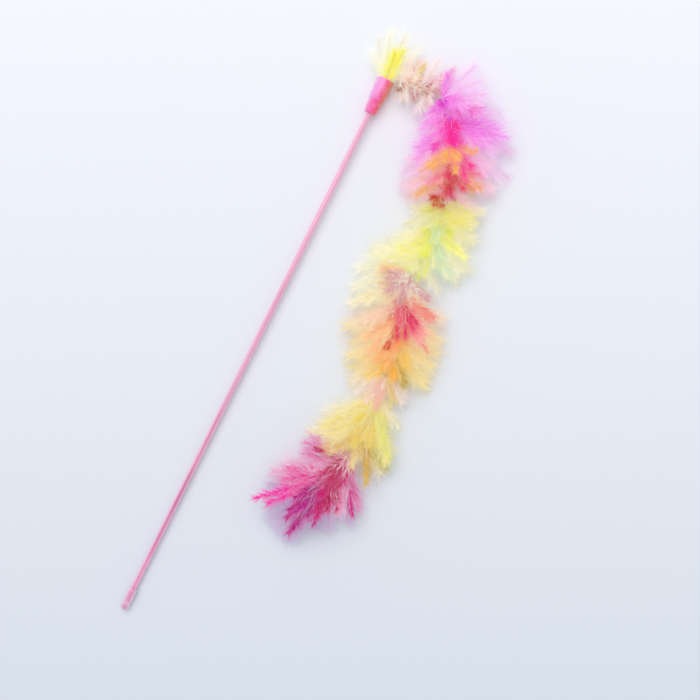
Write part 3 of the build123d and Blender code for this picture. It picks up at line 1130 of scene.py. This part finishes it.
# The magenta stretch is the fullest: orchid and magenta at its head, a violet feather that reaches
# furthest out, then flame orange and crimson tufts towards its foot.
bind_tufts("magenta", (56, 68), [
    ("orchid", "X", "S", [
        (224, 50, 204), (252, 92, 236), (200, 90, 190), (253, 184, 253), (254, 220, 254),
    ], [
        ("side", 0.00, (236.8, -51.2, 14), 6.0),
        ("side", 0.00, (228.6, -60.6, 18), 6.0),
        ("main", 0.00, (224.7, -37.0, 20), 3.0),
        ("side", 0.01, (219.8, -67.3, 22), 6.0),
        ("main", 0.02, (178.7, -36.3, 11), 5.0),
        ("main", 0.00, (203.5, -55.7, 31), 5.5),
        ("core", 0.00, (198.3, -42.6, 27), 3.6),
    ]),
    ("magenta", "XX", "X", [
        (252, 24, 152), (250, 50, 202), (255, 90, 150), (252, 150, 242), (254, 205, 250),
    ], [
        ("side", 0.04, (211.4, -62.4, 28), 6.0),
        ("main", 0.13, (208.3, -68.4, 24), 6.0),
        ("side", 0.13, (169.6, -39.3, 10), 6.0),
        ("core", 0.18, (177.5, -61.1, 30), 6.0),
        ("main", 0.16, (174.4, -49.0, 22), 5.0),
        ("side", 0.16, (207.7, -76.3, 10), 6.0),
    ]),
    ("violet", "XX", "X", [
        (252, 34, 158), (248, 106, 236), (255, 120, 140), (251, 172, 250), (254, 214, 254),
    ], [
        ("main", 0.28, (199.5, -91.7, 20), 8.0),
        ("side", 0.32, (187.4, -90.2, 12), 7.0),
        ("main", 0.33, (158.4, -41.1, 12), 6.5),
        ("core", 0.33, (168.4, -49.0, 24), 5.0),
        ("core", 0.33, (166.5, -66.5, 30), 6.0),
        ("main", 0.31, (190.1, -80.5, 24), 6.0),
    ]),
    ("flame", "L", "X", [
        (255, 210, 104), (255, 190, 112), (252, 60, 176), (255, 188, 222), (254, 212, 240),
    ], [
        ("core", 0.51, (182.9, -76.6, 26), 3.4),
        ("accent", 0.55, (171.8, -77.4, 25), 4.4),
        ("core", 0.44, (163.2, -59.9, 36), 4.6),
        ("core", 0.44, (168.0, -66.0, 38), 4.4),
        ("core", 0.53, (163.4, -69.4, 38), 4.0),
        ("main", 0.56, (150.2, -47.8, 27), 5.5),
        ("core", 0.50, (155.6, -51.6, 29), 4.2),
        ("side", 0.55, (156.0, -36.2, 10), 5.0),
        ("side", 0.55, (181.0, -92.6, 11), 6.0),
        ("accent", 0.53, (161.7, -78.0, 26), 4.0),
    ]),
    ("crimson", "M", "L", [
        (214, 30, 62), (252, 76, 132), (255, 204, 126), (255, 190, 214), (255, 215, 232),
    ], [
        ("core", 0.71, (153.8, -80.4, 28), 4.0),
        ("main", 0.73, (171.3, -91.4, 18), 4.5),
        ("accent", 0.76, (161.6, -90.1, 17), 4.5),
        ("accent", 0.74, (138.7, -53.1, 15), 5.0),
        ("side", 0.74, (138.1, -42.9, 9), 5.0),
        ("side", 0.76, (165.9, -101.7, 9), 5.5),
        ("core", 0.75, (147.1, -73.2, 30), 3.6),
        ("core", 0.60, (155.0, -68.4, 37), 3.6),
        ("main", 0.74, (147.2, -55.0, 22), 3.5),
    ]),
])

# The lime stretch is thinner and cooler: lime and citron vanes, one bright lemon feather and mint down,
# with one red tuft at its head.
bind_tufts("lime", (54, 72), [
    ("lime", "L", "M", [
        (236, 240, 146), (240, 238, 140), (214, 34, 44), (245, 240, 156), (250, 248, 210),
    ], [
        ("accent", 0.00, (139.8, -63.0, 30), 3.6),
        ("accent", 0.00, (137.5, -67.5, 31), 3.2),
        ("core", 0.03, (130.5, -64.0, 20), 4.5),
        ("main", 0.03, (139.2, -98.3, 18), 5.0),
        ("core", 0.07, (126.6, -74.3, 26), 4.0),
        ("side", 0.00, (148.3, -99.8, 9), 6.0),
        ("side", 0.04, (129.0, -54.9, 8), 6.0),
    ]),
    ("citron", "X", "L", [
        (224, 236, 120), (250, 242, 96), (222, 242, 204), (249, 244, 150), (252, 250, 214),
    ], [
        ("core", 0.26, (116.3, -68.8, 22), 4.5),
        ("main", 0.22, (135.0, -97.3, 22), 5.0),
        ("core", 0.27, (122.0, -86.4, 28), 3.6),
        ("accent", 0.16, (116.4, -79.0, 30), 3.4),
        ("side", 0.31, (108.4, -59.1, 10), 6.5),
        ("side", 0.27, (128.3, -105.2, 9), 6.0),
    ]),
    ("lemon", "L", "X", [
        (236, 242, 110), (253, 253, 112), (222, 242, 215), (254, 249, 160), (253, 253, 222),
    ], [
        ("main", 0.41, (114.1, -104.0, 25), 4.6),
        ("accent", 0.48, (109.6, -88.8, 18), 5.5),
        ("main", 0.54, (95.7, -57.9, 20), 6.0),
        ("side", 0.54, (86.1, -41.5, 10), 7.0),
        ("core", 0.45, (104.7, -76.1, 27), 3.4),
        ("side", 0.52, (104.1, -105.2, 8), 6.0),
    ]),
    ("mint", "M", "L", [
        (236, 240, 150), (246, 246, 164), (220, 242, 220), (252, 249, 180), (249, 252, 228),
    ], [
        ("core", 0.70, (89.9, -82.7, 26), 3.2),
        ("accent", 0.72, (99.9, -96.7, 10), 6.0),
        ("main", 0.69, (87.8, -51.2, 16), 6.0),
        ("side", 0.78, (74.6, -36.7, 8), 7.0),
        ("side", 0.85, (60.6, -39.0, 7), 7.0),
    ]),
])

# The orange stretch has mauve feathers with white strands at its head, a fuchsia feather on top, coral and
# tangerine vanes towards the rod, and amber and apricot ones at the neck, where it narrows.
bind_tufts("orange", (54, 68), [
    ("mauve", "M", "X", [
        (212, 156, 168), (234, 188, 194), (252, 204, 150), (252, 238, 116), (255, 252, 246),
    ], [
        ("accent", 0.01, (83.9, -55.4, 22), 4.0),
        ("main", 0.04, (73.6, -56.0, 26), 5.0),
        ("main", 0.06, (64.8, -65.7, 26), 4.5),
        ("core", 0.04, (67.2, -73.6, 30), 3.2),
        ("core", 0.03, (70.6, -63.4, 29), 4.0),
        ("core", 0.01, (78.0, -60.0, 28), 3.4),
        ("side", 0.08, (50.9, -43.9, 8), 7.0),
        ("core", 0.07, (77.5, -94.2, 22), 3.0),
        ("main", 0.00, (79.4, -52.4, 28), 4.0),
    ]),
    ("fuchsia", "L", "X", [
        (218, 18, 84), (252, 40, 140), (250, 164, 150), (255, 204, 160), (255, 228, 180),
    ], [
        ("main", 0.27, (49.0, -100.8, 32), 5.8),
        ("core", 0.28, (48.1, -89.9, 32), 4.0),
        ("accent", 0.19, (66.5, -99.6, 24), 4.0),
        ("side", 0.30, (46.0, -58.4, 14), 5.5),
        ("accent", 0.31, (47.1, -106.2, 24), 2.4),
        ("side", 0.24, (71.4, -109.3, 9), 6.5),
        ("core", 0.25, (56.3, -91.1, 33), 3.4),
    ]),
    ("coral", "L", "X", [
        (253, 164, 92), (255, 192, 148), (214, 32, 40), (253, 218, 128), (252, 232, 136),
    ], [
        ("main", 0.40, (34.5, -62.6, 20), 6.0),
        ("accent", 0.43, (37.2, -78.7, 28), 2.2),
        ("main", 0.47, (25.4, -70.2, 22), 5.0),
        ("core", 0.45, (38.4, -85.6, 29), 4.0),
        ("side", 0.43, (35.8, -46.9, 8), 7.0),
        ("side", 0.40, (57.0, -114.5, 8), 7.0),
        ("side", 0.47, (48.0, -117.0, 6), 7.0),
    ]),
    ("tangerine", "L", "L", [
        (254, 196, 136), (255, 210, 142), (248, 216, 112), (252, 224, 114), (251, 230, 124),
    ], [
        ("main", 0.57, (21.8, -68.9, 20), 5.5),
        ("core", 0.59, (24.8, -85.6, 28), 4.2),
        ("accent", 0.58, (32.0, -100.1, 26), 4.5),
        ("side", 0.61, (18.8, -58.3, 8), 7.0),
        ("side", 0.56, (40.0, -117.2, 8), 7.0),
        ("side", 0.66, (31.0, -117.2, 6), 7.0),
        ("core", 0.57, (26.6, -77.1, 26), 4.0),
    ]),
    ("amber", "L", "L", [
        (252, 196, 86), (254, 212, 104), (204, 182, 84), (250, 226, 110), (250, 230, 128),
    ], [
        ("main", 0.72, (12.1, -76.8, 18), 5.5),
        ("accent", 0.72, (19.6, -102.5, 22), 4.5),
        ("core", 0.74, (18.4, -94.1, 27), 4.0),
        ("side", 0.76, (4.8, -69.8, 8), 6.5),
        ("side", 0.75, (27.1, -116.5, 8), 6.5),
        ("core", 0.72, (17.5, -83.2, 25), 3.6),
    ]),
    ("apricot", "S", "M", [
        (242, 190, 170), (250, 212, 196), (232, 218, 130), (252, 228, 215), (252, 238, 228),
    ], [
        ("main", 0.93, (-3.1, -84.3, 14), 4.5),
        ("accent", 0.91, (3.9, -101.3, 20), 2.6),
        ("core", 0.95, (-4.6, -93.4, 18), 3.4),
        ("side", 0.94, (7.8, -109.2, 8), 5.0),
        ("side", 0.95, (-0.6, -74.0, 7), 5.0),
    ]),
])

# The yellow stretch has straw and yellow vanes swept towards the rod, and ochre ones that hang down
# beside the tail.
bind_tufts("yellow", (52, 68), [
    ("straw", "M", "X", [
        (240, 216, 96), (244, 230, 118), (236, 240, 150), (250, 238, 165), (250, 244, 215),
    ], [
        ("main", 0.15, (-15.2, -73.7, 18), 5.0),
        ("main", 0.28, (-32.1, -62.5, 20), 5.4),
        ("accent", 0.24, (-21.9, -107.3, 20), 4.0),
        ("side", 0.25, (-20.6, -61.3, 8), 6.5),
        ("accent", 0.30, (-32.5, -116.4, 12), 4.6),
        ("core", 0.22, (-15.2, -84.3, 25), 4.0),
    ]),
    ("yellow", "M", "X", [
        (242, 216, 122), (246, 230, 124), (238, 204, 140), (248, 234, 146), (250, 243, 208),
    ], [
        ("main", 0.46, (-34.5, -66.7, 22), 5.2),
        ("accent", 0.50, (-41.8, -73.3, 16), 5.0),
        ("core", 0.49, (-32.1, -89.7, 26), 4.5),
        ("main", 0.49, (-33.1, -117.0, 16), 5.0),
        ("side", 0.55, (-38.1, -56.4, 7), 6.0),
        ("core", 0.46, (-27.3, -99.4, 26), 3.6),
    ]),
    ("ochre", "S", "L", [
        (212, 176, 84), (232, 198, 102), (212, 206, 120), (245, 230, 156), (249, 240, 213),
    ], [
        ("core", 0.70, (-53.4, -110.9, 22), 4.0),
        ("main", 0.80, (-43.0, -77.0, 20), 5.0),
        ("accent", 0.76, (-36.1, -117.0, 9), 5.0),
        ("main", 0.80, (-46.1, -95.1, 24), 4.0),
        ("side", 0.81, (-42.5, -117.0, 6), 5.5),
    ]),
])

# The tail ends the boa in a spray: rose at its head, a ruby core with one long magenta feather,
# and purple tips with lilac feathers round the last knot.
bind_tufts("tail", (50, 36), [
    ("rose", "L", "L", [
        (192, 24, 58), (228, 84, 166), (216, 16, 144), (234, 150, 212), (244, 216, 232),
    ], [
        ("main", 0.20, (-44.2, -56.4, 14), 4.2),
        ("main", 0.24, (-52.1, -58.8, 18), 4.6),
        ("side", 0.29, (-63.5, -50.9, 9), 6.0),
        ("core", 0.21, (-44.2, -65.5, 20), 3.2),
        ("accent", 0.26, (-73.4, -110.2, 20), 3.6),
        ("main", 0.30, (-71.8, -116.0, 12), 4.0),
        ("side", 0.32, (-81.2, -103.5, 12), 4.4),
        ("main", 0.10, (-38.5, -58.5, 16), 4.5),
        ("core", 0.05, (-63.9, -85.1, 33), 4.5),
        ("core", 0.10, (-58.0, -78.0, 32), 4.0),
        ("core", 0.05, (-61.0, -94.0, 32), 3.8),
    ]),
    ("ruby", "L", "XX", [
        (188, 2, 62), (238, 24, 160), (255, 20, 180), (234, 66, 176), (244, 196, 222),
    ], [
        ("accent", 0.62, (-91.5, -47.0, 22), 4.4),
        ("main", 0.59, (-73.9, -54.5, 22), 4.6),
        ("core", 0.56, (-80.0, -93.8, 30), 5.0),
        ("core", 0.61, (-87.9, -90.2, 28), 4.4),
        ("side", 0.57, (-76.0, -104.0, 24), 4.6),
        ("main", 0.65, (-79.3, -67.8, 26), 4.4),
        ("side", 0.65, (-72.0, -46.0, 10), 6.0),
        ("core", 0.51, (-70.3, -86.0, 33), 4.0),
    ]),
    ("purple", "X", "XX", [
        (186, 2, 134), (220, 8, 154), (130, 20, 110), (196, 126, 202), (178, 168, 216),
    ], [
        ("core", 0.89, (-107.2, -76.6, 23), 4.8),
        ("core", 0.85, (-97.8, -70.2, 28), 4.0),
        ("core", 0.70, (-89.0, -75.0, 35), 4.6),
        ("main", 0.92, (-96.5, -83.4, 22), 3.2),
        ("core", 0.86, (-92.7, -89.6, 24), 3.8),
        ("side", 0.97, (-98.7, -56.2, 8), 6.0),
        ("side", 1.00, (-105.0, -60.0, 6), 6.0),
        ("side", 1.00, (-108.5, -67.0, 7), 6.0),
        ("side", 1.00, (-112.0, -74.5, 6), 6.0),
        ("side", 0.89, (-92.1, -102.9, 8), 5.5),
        ("side", 0.91, (-81.3, -115.0, 7), 5.5),
        ("side", 1.00, (-111.5, -82.3, 6), 6.0),
        ("main", 0.94, (-89.0, -75.7, 25), 4.0),
    ]),
])

# The table top is white, with painted shade that greys it to a pale blue-grey towards the near side, under
# soft daylight from the top left of the picture.
FLOOR_SIZE = 8.0
FLOOR_DROP = 0.0002
FLOOR_WHITE = dye(250, 251, 255)
FLOOR_SHADED_GREY = dye(219, 226, 234)
FADE_REACH = 0.25
ROOM_LIGHT = 0.7
SUN_STRENGTH = 1.2
SUN_WIDTH = math.radians(50)
SUN_FROM = PICTURE_UP * 0.5 - PICTURE_RIGHT * 0.2 + SKYWARD
BACKDROP = dye(243, 245, 250)

bpy.ops.mesh.primitive_plane_add(size=FLOOR_SIZE, location=(0, 0, -FLOOR_DROP))
floor = bpy.context.active_object
floor.name = "table_top"
floor_finish, floor_tint = new_finish("table_top")
up_picture = {"Vector": floor_tint.place(), "Vector_001": tuple(PICTURE_UP)}
across_picture = floor_tint.node("VectorMath", {"operation": "DOT_PRODUCT"}, up_picture).beside("Value")
middle = VIEW_CENTRE.dot(PICTURE_UP)
# Painted shade: the table darkens to blue-grey towards the near side of the picture.
fade = across_picture.between(middle - FADE_REACH, middle + FADE_REACH, 0, 1)
floor_colour = floor_tint.blend(fade, FLOOR_SHADED_GREY, FLOOR_WHITE)
floor_tint.surface({"Base Color": floor_colour, "Roughness": 0.9, "Specular IOR Level": 0.1})
floor.data.materials.append(floor_finish)

sun_data = bpy.data.lights.new("window", "SUN")
sun_data.energy = SUN_STRENGTH
sun_data.angle = SUN_WIDTH
sun = bpy.data.objects.new("window", sun_data)
sun.rotation_euler = (-SUN_FROM).to_track_quat("-Z", "Y").to_euler()
scene.collection.objects.link(sun)

world = bpy.data.worlds.new("room")
world.use_nodes = True
world.node_tree.nodes.clear()
scene.world = world
room = Tint(world.node_tree)
rays = room.node("LightPath", output="Is Camera Ray")
seen = rays + rays.beside("Is Glossy Ray") + rays.beside("Is Transmission Ray")
strength = seen.between(0, 1, ROOM_LIGHT, 1.0)
backdrop = room.node("Background", None, {"Color": BACKDROP, "Strength": strength})
room.node("OutputWorld", None, {"Surface": backdrop})
scene.view_settings.view_transform = "Standard"
